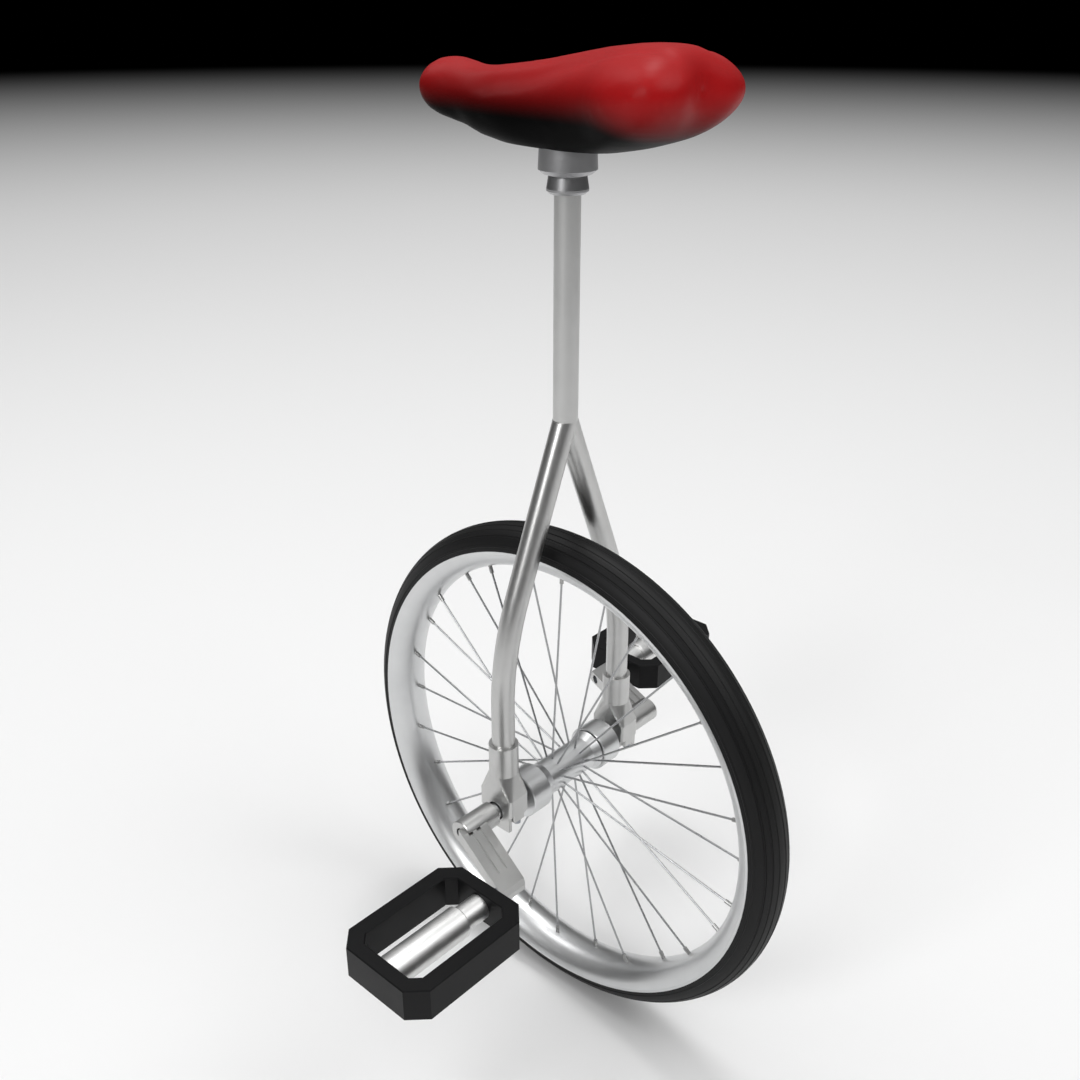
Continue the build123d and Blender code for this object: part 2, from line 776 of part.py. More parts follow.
# ---- pedals ------------------------------------------------------------------------------------------------------------------
pedal_inner = pedal_centre - pedal_half_wide
pedal_outer = pedal_centre + pedal_half_wide
spindle_end = pedal_outer - 4
journal_radius = 4.0
bush_radius = 7.0
pedal_base = Plane(origin=(-crank_length, pedal_centre, axle_height - pedal_half_high))


def spindle_rod(radius, start, end):
    return rod(radius, start, end, -crank_length)


def octagon(half_long, half_wide, corner):
    """Corners of a rectangle on the pedal's plane with its own corners cut off."""
    long_side, wide_side = half_long - corner, half_wide - corner
    quarter = ((half_long, wide_side), (long_side, half_wide))
    half = quarter + tuple((-x, y) for x, y in reversed(quarter))
    return half + tuple((-x, -y) for x, y in half)


with BuildPart() as pedal_frame:
    with BuildSketch(pedal_base):
        with BuildLine():
            Polyline(*octagon(pedal_half_long, pedal_half_wide, pedal_corner), close=True)
        make_face()
        with BuildLine():
            Polyline(*octagon(pedal_open_long, pedal_open_wide, pedal_open_corner), close=True)
        make_face(mode=Mode.SUBTRACT)
    extrude(amount=2 * pedal_half_high)
    chamfer(pedal_frame.faces().filter_by(Axis.Z).edges(), 0.8)
    add(spindle_rod(bush_radius, pedal_inner, pedal_outer - 2), mode=Mode.SUBTRACT)
save_turned_pair(pedal_frame.part, "pedal_frame")

with BuildPart() as pedal_barrel:
    add(spindle_rod(barrel_neck_radius, pedal_centre - pedal_open_wide, barrel_step))
    add(spindle_rod(barrel_radius, barrel_step, pedal_centre + pedal_open_wide))
    chamfer(
        pedal_barrel.edges().filter_by(GeomType.CIRCLE).filter_by(
            lambda edge: edge.radius > barrel_radius - 0.1
        ).sort_by(Axis.Y)[0], 1.2,
    )
    add(
        spindle_rod(bush_radius, pedal_centre - pedal_open_wide, pedal_centre + pedal_open_wide),
        mode=Mode.SUBTRACT,
    )
save_turned_pair(pedal_barrel.part, "pedal_barrel")

with BuildPart() as pedal_spindle:
    add(spindle_rod(spindle_radius, 150, pedal_inner - 1.8))
    add(spindle_rod(6.6, pedal_inner - 1.8, pedal_inner - 0.3))
    add(spindle_rod(journal_radius, pedal_inner - 0.3, spindle_end))
save_turned_pair(pedal_spindle.part, "pedal_spindle")

with BuildPart() as pedal_bushes:
    for start, end in ((pedal_inner, pedal_inner + 16), (pedal_outer - 30, pedal_outer - 12)):
        add(spindle_rod(bush_radius, start, end))
        add(spindle_rod(journal_radius + running_gap, start, end), mode=Mode.SUBTRACT)
save_turned_pair(pedal_bushes.part, "pedal_bushes")

with BuildPart() as pedal_nut:
    with BuildSketch(across(pedal_outer - 10.5, -crank_length)):
        RegularPolygon(6.0, 6)
        Circle(journal_radius, mode=Mode.SUBTRACT)
    extrude(amount=5)
save_turned_pair(pedal_nut.part, "pedal_locknut")
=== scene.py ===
import bpy
import bmesh
import json
import math
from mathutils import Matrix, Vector


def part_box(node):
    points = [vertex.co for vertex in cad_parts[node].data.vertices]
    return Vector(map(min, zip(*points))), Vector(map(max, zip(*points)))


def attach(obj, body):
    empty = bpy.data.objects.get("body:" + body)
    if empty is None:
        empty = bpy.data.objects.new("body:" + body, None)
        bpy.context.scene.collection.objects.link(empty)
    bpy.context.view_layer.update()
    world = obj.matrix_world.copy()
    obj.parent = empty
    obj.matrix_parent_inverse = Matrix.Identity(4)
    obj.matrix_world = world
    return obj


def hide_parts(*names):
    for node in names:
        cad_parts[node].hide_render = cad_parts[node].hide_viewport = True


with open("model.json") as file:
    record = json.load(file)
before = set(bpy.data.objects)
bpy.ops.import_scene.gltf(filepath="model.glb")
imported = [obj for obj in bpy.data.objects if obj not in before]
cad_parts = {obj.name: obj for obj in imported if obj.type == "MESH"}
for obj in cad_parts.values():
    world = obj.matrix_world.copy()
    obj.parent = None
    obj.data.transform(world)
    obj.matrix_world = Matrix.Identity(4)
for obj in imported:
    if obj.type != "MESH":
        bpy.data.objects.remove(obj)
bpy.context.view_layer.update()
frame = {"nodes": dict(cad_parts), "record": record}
nodes = frame["nodes"]
axleZ = sum(corner[2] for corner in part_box("axle")) / 2
print("frame loaded:", len(nodes), "pieces")


# ---------- small helpers

def deselectAll():
    if bpy.context.object and bpy.context.object.mode != "OBJECT":
        bpy.ops.object.mode_set(mode="OBJECT")
    bpy.ops.object.select_all(action="DESELECT")


def takeOver(name):
    # the piece an operator just made, renamed
    piece = bpy.context.object
    piece.name = name
    piece.data.name = name
    return piece


def editMode(piece, kind="FACE"):
    deselectAll()
    piece.select_set(True)
    bpy.context.view_layer.objects.active = piece
    bpy.ops.object.mode_set(mode="EDIT")
    bpy.ops.mesh.select_mode(type=kind)
    bpy.ops.mesh.select_all(action="DESELECT")


def pickFaces(piece, wanted):
    # select faces by where their middles are
    mesh = bmesh.from_edit_mesh(piece.data)
    mesh.faces.ensure_lookup_table()
    for face in mesh.faces:
        face.select = wanted(face.calc_center_median(), face.normal)
    mesh.select_flush_mode()
    bmesh.update_edit_mesh(piece.data)


def pickPoints(piece, wanted):
    mesh = bmesh.from_edit_mesh(piece.data)
    for point in mesh.verts:
        point.select = wanted(point.co)
    mesh.select_flush_mode()
    bmesh.update_edit_mesh(piece.data)


def settle(piece):
    # place, turn and scale go into the mesh
    deselectAll()
    piece.select_set(True)
    bpy.context.view_layer.objects.active = piece
    bpy.ops.object.transform_apply(location=True, rotation=True, scale=True)


def applyModifier(piece, kind, **settings):
    deselectAll()
    piece.select_set(True)
    bpy.context.view_layer.objects.active = piece
    modifier = piece.modifiers.new(kind.title(), kind)
    for key, value in settings.items():
        setattr(modifier, key, value)
    bpy.ops.object.modifier_apply(modifier=modifier.name)


def smoothShade(piece, degrees=40):
    deselectAll()
    piece.select_set(True)
    bpy.context.view_layer.objects.active = piece
    bpy.ops.object.shade_smooth_by_angle(angle=math.radians(degrees))


# ---------- camera, lights and floor

studio = {
    "cameraPlace": (-0.6202, 0.7098, 0.943),
    "cameraYaw": -47.55,      # degrees from +X
    "cameraPitch": -25.5,
    "lens": 35.0,
    "sensor": 32.0,
    "clipEnd": 600,
    "floorSize": 400.0,
    "floorColour": "EDEDED",
    "floorShadeFar": "000000",
    "floorShadeFade": (4.2, 14.5),  # painted shade: the pale floor darkens to black between these distances
    "worldColour": "E6E6E6",
    "skyHorizon": 0.06,       # share of the way up where the glow begins
    "skyGlow": 0.85,          # strength straight overhead
    "keyPower": 38.0,
    "sidePower": 95.0,
    "rimPower": 12.0,
    "roomPower": 560.0,
    "roomPlace": (1.2, -1.6, 7.0),
    "roomSoftness": 1.2,
    "roomCone": 132.0,        # degrees
}


def hexColour(code):
    # sRGB hex to linear
    channels = []
    for start in (0, 2, 4):
        value = int(code[start:start + 2], 16) / 255
        channels.append(value / 12.92 if value <= 0.04045 else ((value + 0.055) / 1.055) ** 2.4)
    return (*channels, 1.0)


def aimAt(thing, target):
    thing.rotation_euler = (Vector(target) - thing.location).to_track_quat("-Z", "Y").to_euler()


deselectAll()
bpy.ops.object.camera_add(location=studio["cameraPlace"])
camera = takeOver("camera")
camera.rotation_euler = (
    math.radians(90 + studio["cameraPitch"]), 0, math.radians(studio["cameraYaw"] - 90))
camera.data.lens = studio["lens"]
camera.data.sensor_width = studio["sensor"]
camera.data.clip_end = studio["clipEnd"]
bpy.context.scene.camera = camera

lightSetup = (
    # name, place, target, size, power
    ("keyLight", (-2.0, -0.6, 3.2), (0, 0, 0.45), 2.2, studio["keyPower"]),
    ("sideLight", (-0.25, 4.6, 3.1), (0, 0, 0.4), 2.0, studio["sidePower"]),
    ("rimLight", (1.6, 0.4, 2.9), (0, 0, 0.6), 1.4, studio["rimPower"]),
)
for name, place, target, size, power in lightSetup:
    deselectAll()
    bpy.ops.object.light_add(type="AREA", location=place)
    light = takeOver(name)
    light.data.shape = "DISK"
    light.data.size = size
    light.data.energy = power
    aimAt(light, target)

# a wide lamp high up keeps the near floor even
deselectAll()
bpy.ops.object.light_add(type="SPOT", location=studio["roomPlace"])
roomLight = takeOver("roomLight")
roomLight.data.spot_size = math.radians(studio["roomCone"])
roomLight.data.spot_blend = 1.0
roomLight.data.shadow_soft_size = studio["roomSoftness"]
roomLight.data.energy = studio["roomPower"]

bpy.context.scene.view_settings.view_transform = "Standard"

deselectAll()
bpy.ops.mesh.primitive_plane_add(size=studio["floorSize"])
floor = takeOver("studioFloor")
print("camera, lights and floor are up")


# ---------- materials

def addNode(tree, kind, settings=None, links=None):
    # one shader node with its settings, and the sockets that feed it
    node = tree.nodes.new(kind)
    for key, value in (settings or {}).items():
        if isinstance(key, int) or (key in node.inputs and not hasattr(node, key)):
            node.inputs[key].default_value = value
        else:
            setattr(node, key, value)
    for key, source in (links or {}).items():
        tree.links.new(source, node.inputs[key])
    return node


def startMaterial(name, base, metallic, roughness, **shaderSettings):
    material = bpy.data.materials.new(name)
    material.use_nodes = True
    tree = material.node_tree
    shader = tree.nodes["Principled BSDF"]
    shader.inputs["Base Color"].default_value = hexColour(base)
    shader.inputs["Metallic"].default_value = metallic
    shader.inputs["Roughness"].default_value = roughness
    for key, value in shaderSettings.items():
        shader.inputs[key].default_value = value
    place = addNode(tree, "ShaderNodeTexCoord").outputs["Object"]
    return material, tree, shader, place


def drive(tree, shader, socket, source):
    tree.links.new(source, shader.inputs[socket])


def blendColours(tree, factor, low, high):
    # colour that runs from low to high as factor goes 0 to 1
    mix = addNode(tree, "ShaderNodeMix", {"data_type": "RGBA"})
    tree.links.new(factor, mix.inputs[0])
    mix.inputs[6].default_value = hexColour(low)
    mix.inputs[7].default_value = hexColour(high)
    return mix.outputs[2]


def metalMaterial(name, spec):
    # blotched tone and roughness, with fine rubbing lines along one axis
    material, tree, shader, place = startMaterial(name, spec["light"], 1.0, spec["roughness"])
    stretch = addNode(tree, "ShaderNodeMapping", {"Scale": spec["lineScale"]}, {"Vector": place})
    lines = addNode(tree, "ShaderNodeTexNoise", {"Scale": 1.0, "Detail": 4.0},
                    {"Vector": stretch.outputs["Vector"]})
    blotch = addNode(tree, "ShaderNodeTexNoise", {"Scale": 34.0, "Detail": 3.0}, {"Vector": place})
    drive(tree, shader, "Base Color",
          blendColours(tree, blotch.outputs["Fac"], spec["dark"], spec["light"]))
    gloss = addNode(tree, "ShaderNodeMapRange",
                    {"From Min": 0.3, "From Max": 0.7, "To Min": spec["roughness"] - spec["spread"],
                     "To Max": spec["roughness"] + spec["spread"]},
                    {"Value": lines.outputs["Fac"]})
    drive(tree, shader, "Roughness", gloss.outputs["Result"])
    relief = addNode(tree, "ShaderNodeBump", {"Strength": spec["bump"], "Distance": 0.0002},
                     {"Height": lines.outputs["Fac"]})
    drive(tree, shader, "Normal", relief.outputs["Normal"])
    return material


# lines run along the axis with the small number; the others are lines per metre
metals = {
    # nickel-plated steel, drawn and satin buffed: soft long reflections, slightly warm grey
    "nickelPlatedSteel": {"light": "C9C9C8", "dark": "B9B9B8", "roughness": 0.34, "spread": 0.03,
                          "lineScale": (500, 500, 20), "bump": 0.008},
    # extruded aluminium, polished then clear anodised: brighter, cleaner
    "anodisedAluminium": {"light": "DCDDDD", "dark": "CCCDCE", "roughness": 0.33, "spread": 0.04,
                          "lineScale": (60, 1500, 60), "bump": 0.04},
    # stainless wire, cold drawn
    "stainlessWire": {"light": "B9BABB", "dark": "A2A3A5", "roughness": 0.3, "spread": 0.05,
                      "lineScale": (400, 400, 400), "bump": 0.03},
    # brass nipples under thick nickel
    "platedBrass": {"light": "B4B4B3", "dark": "9C9C9B", "roughness": 0.3, "spread": 0.05,
                    "lineScale": (500, 500, 500), "bump": 0.04},
    # zinc-plated bolts: duller, faint blue
    "zincPlatedSteel": {"light": "A9ADB3", "dark": "8C9096", "roughness": 0.36, "spread": 0.08,
                        "lineScale": (700, 700, 700), "bump": 0.1},
    # die-cast aluminium, tumbled: grainy satin
    "castAluminium": {"light": "ECECEB", "dark": "DEDEDD", "roughness": 0.42, "spread": 0.04,
                      "lineScale": (90, 90, 90), "bump": 0.004},
    # turned steel for the post's head and clamp; its grey, darker than the frame's, is painted shade
    "shadedTurnedSteel": {"light": "B4B4B5", "dark": "9E9EA0", "roughness": 0.36, "spread": 0.05,
                    "lineScale": (60, 60, 1100), "bump": 0.02},
    # bearing steel, ground: near mirror
    "bearingSteel": {"light": "C2C3C5", "dark": "AAABAE", "roughness": 0.16, "spread": 0.04,
                     "lineScale": (1200, 60, 1200), "bump": 0.03},
}
looks = {name: metalMaterial(name, spec) for name, spec in metals.items()}

plastics = {
    # polypropylene cage, moulded with a spark-eroded texture: grain of about 0.4 mm
    "mouldedPolypropylene": {"light": "08080A", "dark": "040405", "roughness": 0.42, "shine": 0.18,
                             "grain": 2400, "bump": 0.1, "scratch": "101012"},
    # nylon bush, natural
    "nylon": {"light": "DEDACD", "dark": "CFC9B8", "roughness": 0.45, "shine": 0.5,
              "grain": 1800, "bump": 0.08, "scratch": "E6E2D8"},
    # butyl rubber of seals, tube and tape
    "butylRubber": {"light": "161616", "dark": "0E0E0E", "roughness": 0.62, "shine": 0.3, "grain": 1500,
                    "bump": 0.12, "scratch": "242424"},
    # moulded foam, open cells of about 1 mm
    "polyurethaneFoam": {"light": "D8CFA6", "dark": "B9AE82", "roughness": 0.9, "shine": 0.2,
                         "grain": 1000, "bump": 0.6, "scratch": "E2DBB8"},
}


def plasticMaterial(name, spec):
    material, tree, shader, place = startMaterial(
        name, spec["light"], 0.0, spec["roughness"], **{"Specular IOR Level": spec["shine"]})
    grain = addNode(tree, "ShaderNodeTexNoise", {"Scale": float(spec["grain"]), "Detail": 2.0},
                    {"Vector": place})
    cloud = addNode(tree, "ShaderNodeTexNoise", {"Scale": 26.0, "Detail": 5.0}, {"Vector": place})
    scuff = addNode(tree, "ShaderNodeMapRange", {"From Min": 0.62, "From Max": 0.8},
                    {"Value": cloud.outputs["Fac"]})
    plain = blendColours(tree, cloud.outputs["Fac"], spec["dark"], spec["light"])
    mix = addNode(tree, "ShaderNodeMix", {"data_type": "RGBA"})
    tree.links.new(scuff.outputs["Result"], mix.inputs[0])
    tree.links.new(plain, mix.inputs[6])
    mix.inputs[7].default_value = hexColour(spec["scratch"])
    drive(tree, shader, "Base Color", mix.outputs[2])
    dull = addNode(tree, "ShaderNodeMapRange",
                   {"To Min": spec["roughness"] - 0.06, "To Max": spec["roughness"] + 0.1},
                   {"Value": cloud.outputs["Fac"]})
    drive(tree, shader, "Roughness", dull.outputs["Result"])
    relief = addNode(tree, "ShaderNodeBump", {"Strength": spec["bump"], "Distance": 0.0002},
                     {"Height": grain.outputs["Fac"]})
    drive(tree, shader, "Normal", relief.outputs["Normal"])
    return material


for name, spec in plastics.items():
    looks[name] = plasticMaterial(name, spec)

vinyl = {
    # coated cloth, embossed leather grain about 1.2 mm across, glossy top coat; the lower side is
    # painted
    # shade: the red darkens to black towards the bottom, where the surface turns away from the light
    "red": "A90D11", "deepRed": "960A0D", "black": "020202",
    "paintedShadeLow": 0.846, "paintedShadeHigh": 0.886, "paintedShadeTailDrop": 0.014, "grain": 850.0, "roughness": 0.46,
}


def vinylMaterial(spec):
    material, tree, shader, place = startMaterial(
        "coatedVinyl", spec["red"], 0.0, spec["roughness"],
        **{"Coat Weight": 0.0})
    cells = addNode(tree, "ShaderNodeTexVoronoi",
                    {"feature": "DISTANCE_TO_EDGE", "Scale": spec["grain"]}, {"Vector": place})
    cloud = addNode(tree, "ShaderNodeTexNoise", {"Scale": 22.0, "Detail": 4.0}, {"Vector": place})
    red = blendColours(tree, cloud.outputs["Fac"], spec["deepRed"], spec["red"])
    spot = addNode(tree, "ShaderNodeSeparateXYZ", {}, {"Vector": place})
    # the painted shade stops lower at the tail's end
    paintedShadeDrop = addNode(tree, "ShaderNodeMapRange",
                   {"interpolation_type": "SMOOTHSTEP", "From Min": -0.05, "From Max": -0.115,
                    "To Max": spec["paintedShadeTailDrop"]},
                   {"Value": spot.outputs["X"]})
    height = addNode(tree, "ShaderNodeMath", {"operation": "ADD"},
                     {0: spot.outputs["Z"], 1: paintedShadeDrop.outputs["Result"]}).outputs["Value"]
    # painted shade: the red goes to black towards the bottom of the cover
    paintedShadeFade = addNode(tree, "ShaderNodeMapRange",
                   {"interpolation_type": "SMOOTHSTEP", "From Min": spec["paintedShadeLow"],
                    "From Max": spec["paintedShadeHigh"]},
                   {"Value": height})
    mix = addNode(tree, "ShaderNodeMix", {"data_type": "RGBA"})
    tree.links.new(paintedShadeFade.outputs["Result"], mix.inputs[0])
    mix.inputs[6].default_value = hexColour(spec["black"])
    tree.links.new(red, mix.inputs[7])
    drive(tree, shader, "Base Color", mix.outputs[2])
    shine = addNode(tree, "ShaderNodeMapRange", {"To Min": 0.02, "To Max": 0.16},
                    {"Value": paintedShadeFade.outputs["Result"]})
    drive(tree, shader, "Specular IOR Level", shine.outputs["Result"])
    ridge = addNode(tree, "ShaderNodeMapRange", {"From Max": 0.25}, {"Value": cells.outputs["Distance"]})
    relief = addNode(tree, "ShaderNodeBump", {"Strength": 0.1, "Distance": 0.0002},
                     {"Height": ridge.outputs["Result"]})
    drive(tree, shader, "Normal", relief.outputs["Normal"])
    return material


looks["coatedVinyl"] = vinylMaterial(vinyl)

tyreRubber = {
    # carbon-black rubber, vulcanised in a mould: matt, with a dusty running band
    "light": "0C0C0D", "dark": "070708", "dust": "181818", "roughness": 0.52, "grain": 1300.0,
}


def tyreMaterial(spec):
    material, tree, shader, place = startMaterial(
        "vulcanisedRubber", spec["dark"], 0.0, spec["roughness"], **{"Specular IOR Level": 0.25})
    cloud = addNode(tree, "ShaderNodeTexNoise", {"Scale": 18.0, "Detail": 6.0}, {"Vector": place})
    plain = blendColours(tree, cloud.outputs["Fac"], spec["dark"], spec["light"])
    # distance from the axle tells the running band from the walls
    centred = addNode(tree, "ShaderNodeMapping", {"Location": (0.0, 0.0, -axleZ),
                                                  "Scale": (1.0, 0.0, 1.0)}, {"Vector": place})
    reach = addNode(tree, "ShaderNodeVectorMath", {"operation": "LENGTH"},
                    {0: centred.outputs["Vector"]})
    band = addNode(tree, "ShaderNodeMapRange",
                   {"From Min": axleZ - 0.006, "From Max": axleZ, "To Max": 0.55},
                   {"Value": reach.outputs["Value"]})
    mix = addNode(tree, "ShaderNodeMix", {"data_type": "RGBA"})
    tree.links.new(band.outputs["Result"], mix.inputs[0])
    tree.links.new(plain, mix.inputs[6])
    mix.inputs[7].default_value = hexColour(spec["dust"])
    drive(tree, shader, "Base Color", mix.outputs[2])
    grain = addNode(tree, "ShaderNodeTexNoise", {"Scale": spec["grain"], "Detail": 2.0},
                    {"Vector": place})
    relief = addNode(tree, "ShaderNodeBump", {"Strength": 0.18, "Distance": 0.0003},
                     {"Height": grain.outputs["Fac"]})
    drive(tree, shader, "Normal", relief.outputs["Normal"])
    return material


looks["vulcanisedRubber"] = tyreMaterial(tyreRubber)

world = bpy.data.worlds.new("studioAir")
world.use_nodes = True
bpy.context.scene.world = world
air = world.node_tree
airPlace = addNode(air, "ShaderNodeTexCoord").outputs["Generated"]
airHeight = addNode(air, "ShaderNodeSeparateXYZ", {}, {"Vector": airPlace}).outputs["Z"]
# brighter overhead, like a big soft ceiling
airGlow = addNode(air, "ShaderNodeMapRange",
                  {"From Min": studio["skyHorizon"], "To Max": studio["skyGlow"]},
                  {"Value": airHeight})
air.nodes["Background"].inputs["Color"].default_value = hexColour(studio["worldColour"])
air.links.new(airGlow.outputs["Result"], air.nodes["Background"].inputs["Strength"])

floorLook, floorTree, floorShader, floorPlace = startMaterial(
    "paintedBoard", studio["floorColour"], 0.0, 0.8, **{"Specular IOR Level": 0.0})
# painted shade: the floor's colour goes to black away from the middle
reach = addNode(floorTree, "ShaderNodeVectorMath", {"operation": "LENGTH"}, {0: floorPlace})
paintedFloorShade = addNode(floorTree, "ShaderNodeMapRange",
                 {"interpolation_type": "SMOOTHSTEP", "From Min": studio["floorShadeFade"][0],
                  "From Max": studio["floorShadeFade"][1]},
                 {"Value": reach.outputs["Value"]})
drive(floorTree, floorShader, "Base Color",
      blendColours(floorTree, paintedFloorShade.outputs["Result"], studio["floorColour"],
                   studio["floorShadeFar"]))
floor.data.materials.append(floorLook)

slotLooks = {
    "frame_metal": "nickelPlatedSteel", "bearing_steel": "bearingSteel",
    "wheel_aluminium": "anodisedAluminium", "spoke_steel": "stainlessWire",
    "fastener_steel": "zincPlatedSteel", "tyre_rubber": "vulcanisedRubber",
    "tube_rubber": "butylRubber", "black_plastic": "mouldedPolypropylene",
    "barrel_metal": "castAluminium", "bush_nylon": "nylon", "saddle_vinyl": "coatedVinyl",
    "saddle_foam": "polyurethaneFoam",
}
# the post's head and clamp get the darker steel, as painted shade
ownLooks = {"seat_post_head": "shadedTurnedSteel", "seat_clamp": "shadedTurnedSteel"}
for entry in frame["record"]["subparts"]:
    name = ownLooks.get(entry["node"], slotLooks[entry["material_slot"]])
    if "nipple" in entry["node"]:
        name = "platedBrass"
    for materialSlot in nodes[entry["node"]].material_slots:
        materialSlot.material = looks[name]
print("materials made:", len(looks))


def finishPiece(piece, body, look, replaced=()):
    piece.data.materials.clear()
    piece.data.materials.append(looks[look])
    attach(piece, body)
    if replaced:
        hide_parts(*replaced)


# ---------- tyre: a torus opened at the rim, with grooves pressed into the tread

tyre = {
    "tubeCentre": 0.226,          # from the axle
    "tubeRadius": 0.024,
    "around": 192,
    "section": 72,                # 5 degrees each
    "openBelow": 0.2278,          # cut where the wall goes into the rim
    "grooves": (0, 15, 30, 45),   # degrees from the crown
    "grooveInset": 0.00045,
    "grooveDepth": 0.0006,
    "wallRibs": (70,),
    "ribHeight": 0.0006,
    "beadDrop": 0.0045,
    "beadNarrow": 0.92,
    "halfStep": 2.5,              # degrees, from a section point to a face's middle
    "ringReach": 1.2,             # degrees
    "wall": 0.0022,
}


def buildTyre(spec):
    deselectAll()
    bpy.ops.mesh.primitive_torus_add(
        major_segments=spec["around"], minor_segments=spec["section"],
        major_radius=spec["tubeCentre"], minor_radius=spec["tubeRadius"],
        location=(0, 0, axleZ), rotation=(math.radians(90), 0, 0))
    piece = takeOver("tyreCover")
    settle(piece)

    def sectionAngle(point):
        out = math.hypot(point.x, point.z - axleZ) - spec["tubeCentre"]
        return math.degrees(math.atan2(point.y, out))

    def inRing(rings):
        # the section starts on the crown, so each ring's middle is half a step off
        return lambda middle, normal: any(
            abs(abs(sectionAngle(middle)) - ring - spec["halfStep"]) < spec["ringReach"]
            for ring in rings)

    editMode(piece, "VERT")
    pickPoints(piece, lambda co: math.hypot(co.x, co.z - axleZ) < spec["openBelow"])
    bpy.ops.mesh.delete(type="VERT")
    bpy.ops.mesh.select_mode(type="FACE")
    pickFaces(piece, inRing(spec["grooves"]))
    bpy.ops.mesh.inset(thickness=spec["grooveInset"], depth=-spec["grooveDepth"])
    pickFaces(piece, inRing(spec["wallRibs"]))
    bpy.ops.mesh.inset(thickness=spec["grooveInset"], depth=spec["ribHeight"])
    bpy.ops.object.mode_set(mode="OBJECT")
    # the walls turn in under the rim's edge
    editMode(piece, "EDGE")
    bpy.ops.mesh.select_non_manifold(extend=False, use_wire=False, use_multi_face=False,
                                     use_non_contiguous=False, use_verts=False)
    bpy.ops.mesh.extrude_region_move()
    inward = (spec["openBelow"] - spec["beadDrop"]) / spec["openBelow"]
    bpy.ops.transform.resize(value=(inward, spec["beadNarrow"], inward), center_override=(0, 0, axleZ))
    bpy.ops.object.mode_set(mode="OBJECT")
    applyModifier(piece, "SOLIDIFY", thickness=spec["wall"], offset=-1)
    smoothShade(piece, 35)
    return piece


tyreCover = buildTyre(tyre)
finishPiece(tyreCover, "wheel", "vulcanisedRubber", ("tyre",))
print("tyre done:", len(tyreCover.data.polygons), "faces")


# ---------- saddle: lofted rings; the cover is remeshed and blown up a little as cloth

saddle = {
    # x, half width, underside, top in mm, tail to nose
    "stations": (
        (-132, 61, 846, 898), (-116, 62, 841, 902), (-98, 61, 836, 903), (-75, 57, 830, 902),
        (-45, 47, 825, 898), (-15, 40, 821, 893), (20, 36, 821, 887), (50, 35, 824, 883),
        (80, 32, 829, 880), (98, 30, 835, 881), (118, 32, 839, 886), (135, 33, 842, 887),
        (150, 32, 846, 884)),
    "tailRound": 33,         # mm over which each end closes
    "noseRound": 26,
    "planSquareness": 3.2,   # of the tail from above; 2 is a plain quarter circle
    "underSquareness": 0.86, # 1 is an ellipse, less is squarer
    "rings": 110,
    "around": 84,
    "shrink": 1.2,           # mm left for the cloth to swell into
    "voxel": 0.004,
    "pressure": 4.0,
    "swellCap": 0.002,
    "clothFrames": 20,
    "smoothings": 8,
    "leather": 0.0018,
    "hemHeight": 0.8258,     # the cover is turned in here, under the base plate
    "hemTurn": 0.93,
    "hemRise": 0.0016,
    # sewn edge of the top panel
    "seamOffset": 0.025,
    "seamDepth": 0.0024,
    "seamWidth": 0.0062,
    "seamFront": 0.074,
    "seamBack": -0.1,
    "dishHeight": 0.872,
    "dishRadius": 0.034,
    "dishDepth": 0.009,
    "dimpleRadius": 0.005,
    "dimpleDepth": 0.0012,
    # base plate, inside the cover
    "baseShrink": 4.2,
    "baseTop": 0.838,
    "headRadius": 0.024,
    "headTop": 0.8264,
    "recessDepth": 0.04,
}


def along(table, x, column):
    # smooth curve through the given stations
    places = [row[0] for row in table]
    x = min(max(x, places[0]), places[-1])
    index = max(i for i in range(len(table) - 1) if places[i] <= x)
    before, low = table[max(index - 1, 0)][column], table[index][column]
    high, after = table[index + 1][column], table[min(index + 2, len(table) - 1)][column]
    t = (x - places[index]) / (places[index + 1] - places[index])
    lowSlope, highSlope = (high - before) / 2, (after - low) / 2
    return (low * (2 * t ** 3 - 3 * t ** 2 + 1) + lowSlope * (t ** 3 - 2 * t ** 2 + t)
            + high * (3 * t ** 2 - 2 * t ** 3) + highSlope * (t ** 3 - t ** 2))


def endClose(spec, x, tailPower):
    # 0 at either end of the saddle, 1 away from them
    first, last = spec["stations"][0][0], spec["stations"][-1][0]
    tail = max(0.0, min(1.0, (x - first) / spec["tailRound"]))
    nose = max(0.0, min(1.0, (last - x) / spec["noseRound"]))
    return ((1 - (1 - tail) ** tailPower) ** (1 / tailPower)) * math.sqrt(1 - (1 - nose) ** 2)


def saddleRing(spec, x, shrink):
    half = (along(spec["stations"], x, 1) - shrink) * endClose(spec, x, spec["planSquareness"])
    low, high = along(spec["stations"], x, 2), along(spec["stations"], x, 3)
    middle = (low + high) / 2
    tall = ((high - low) / 2 - shrink) * endClose(spec, x, 2.0)
    half, tall = max(0.6, half), max(0.6, tall)
    ring = []
    for step in range(spec["around"]):
        angle = 2 * math.pi * step / spec["around"]
        across, up = math.cos(angle), math.sin(angle)
        # an ellipse above, squarer below
        square = 1.0 if up > 0 else spec["underSquareness"]
        y = half * math.copysign(abs(across) ** square, across)
        z = middle + tall * math.copysign(abs(up) ** square, up)
        ring.append((x / 1000, y / 1000, z / 1000))
    return ring


